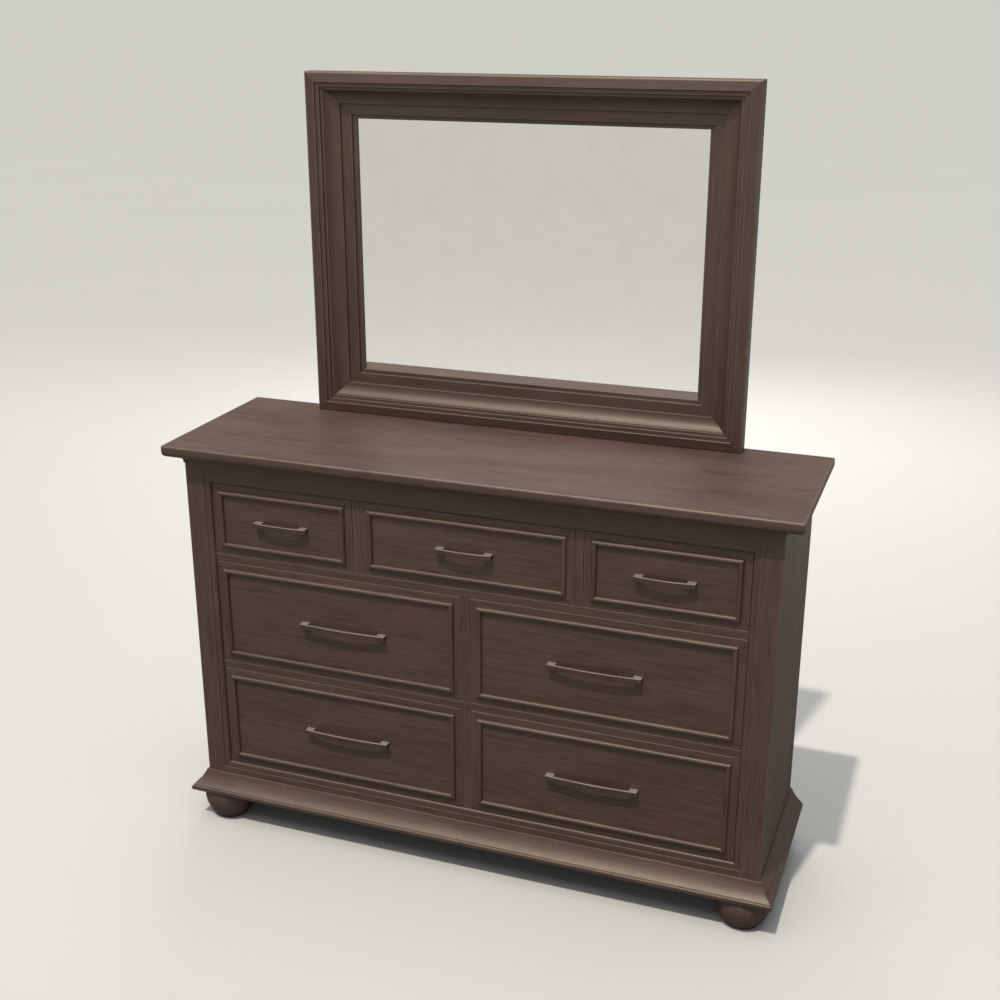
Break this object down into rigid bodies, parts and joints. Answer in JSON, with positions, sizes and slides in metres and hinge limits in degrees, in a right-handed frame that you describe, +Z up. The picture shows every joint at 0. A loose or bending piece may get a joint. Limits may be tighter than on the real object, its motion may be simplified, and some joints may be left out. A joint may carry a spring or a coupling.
{
  "type": "dresser with mirror",
  "caption": "Wide chest of drawers on bun feet with moulded base, bead-framed drawer fronts, bow pulls, and a mirror in a deep mitred frame standing on its top.",
  "frame": {"origin": "on the floor below the middle of the overall box", "axes": "+Z up, +X to the right seen from the front, front towards -Y"},
  "size_m": [1.524, 0.483, 1.865],
  "materials": {
    "stained_wood": "grey-brown stain under satin lacquer",
    "inner_wood": "unfinished secondary wood",
    "drawer_wood": "clear sealed pale wood",
    "backing_board": "plain board",
    "bronze": "dark antique bronze, satin",
    "steel": "zinc plated",
    "mirror": "silvered float glass"
  },
  "bodies": {
    "case": {"top_board": "stained_wood", "cornice_front": "stained_wood", "cornice_left": "stained_wood", "cornice_right": "stained_wood", "left_stile": "stained_wood", "right_stile": "stained_wood", "left_end": "stained_wood", "right_end": "stained_wood", "frieze_rail": "stained_wood", "bottom_rail": "stained_wood", "opening_trim": "stained_wood", "upper_rail": "stained_wood", "lower_rail": "stained_wood", "upper_mullions": "stained_wood", "lower_mullions": "stained_wood", "base_front": "stained_wood", "base_left": "stained_wood", "base_right": "stained_wood", "front_feet": "stained_wood", "rear_feet": "stained_wood", "mirror_bottom_rail": "stained_wood", "mirror_right_stile": "stained_wood", "mirror_top_rail": "stained_wood", "mirror_left_stile": "stained_wood", "upper_dustboard": "inner_wood", "lower_dustboard": "inner_wood", "bottom_board": "inner_wood", "back_rail": "inner_wood", "upper_partitions": "inner_wood", "centre_partitions": "inner_wood", "base_board": "inner_wood", "drawer_guides": "inner_wood", "mirror_supports": "inner_wood", "back_panel": "backing_board", "mirror_back": "backing_board", "support_screws": "steel", "foot_bolts": "steel", "mirror_glass": "mirror"},
    "top_left_drawer": {"top_left_front": "stained_wood", "top_left_box": "drawer_wood", "top_left_pull": "bronze"},
    "top_middle_drawer": {"top_middle_front": "stained_wood", "top_middle_box": "drawer_wood", "top_middle_pull": "bronze"},
    "top_right_drawer": {"top_right_front": "stained_wood", "top_right_box": "drawer_wood", "top_right_pull": "bronze"},
    "middle_left_drawer": {"middle_left_front": "stained_wood", "middle_left_box": "drawer_wood", "middle_left_pull": "bronze"},
    "middle_right_drawer": {"middle_right_front": "stained_wood", "middle_right_box": "drawer_wood", "middle_right_pull": "bronze"},
    "bottom_left_drawer": {"bottom_left_front": "stained_wood", "bottom_left_box": "drawer_wood", "bottom_left_pull": "bronze"},
    "bottom_right_drawer": {"bottom_right_front": "stained_wood", "bottom_right_box": "drawer_wood", "bottom_right_pull": "bronze"}
  },
  "joints": [
    {"name": "top_left_slide", "type": "slide", "parent": "case", "child": "top_left_drawer", "axis": [0, -1, 0], "range_m": [0, 0.27]},
    {"name": "top_middle_slide", "type": "slide", "parent": "case", "child": "top_middle_drawer", "axis": [0, -1, 0], "range_m": [0, 0.27]},
    {"name": "top_right_slide", "type": "slide", "parent": "case", "child": "top_right_drawer", "axis": [0, -1, 0], "range_m": [0, 0.27]},
    {"name": "middle_left_slide", "type": "slide", "parent": "case", "child": "middle_left_drawer", "axis": [0, -1, 0], "range_m": [0, 0.27]},
    {"name": "middle_right_slide", "type": "slide", "parent": "case", "child": "middle_right_drawer", "axis": [0, -1, 0], "range_m": [0, 0.27]},
    {"name": "bottom_left_slide", "type": "slide", "parent": "case", "child": "bottom_left_drawer", "axis": [0, -1, 0], "range_m": [0, 0.27]},
    {"name": "bottom_right_slide", "type": "slide", "parent": "case", "child": "bottom_right_drawer", "axis": [0, -1, 0], "range_m": [0, 0.27]}
  ]
}
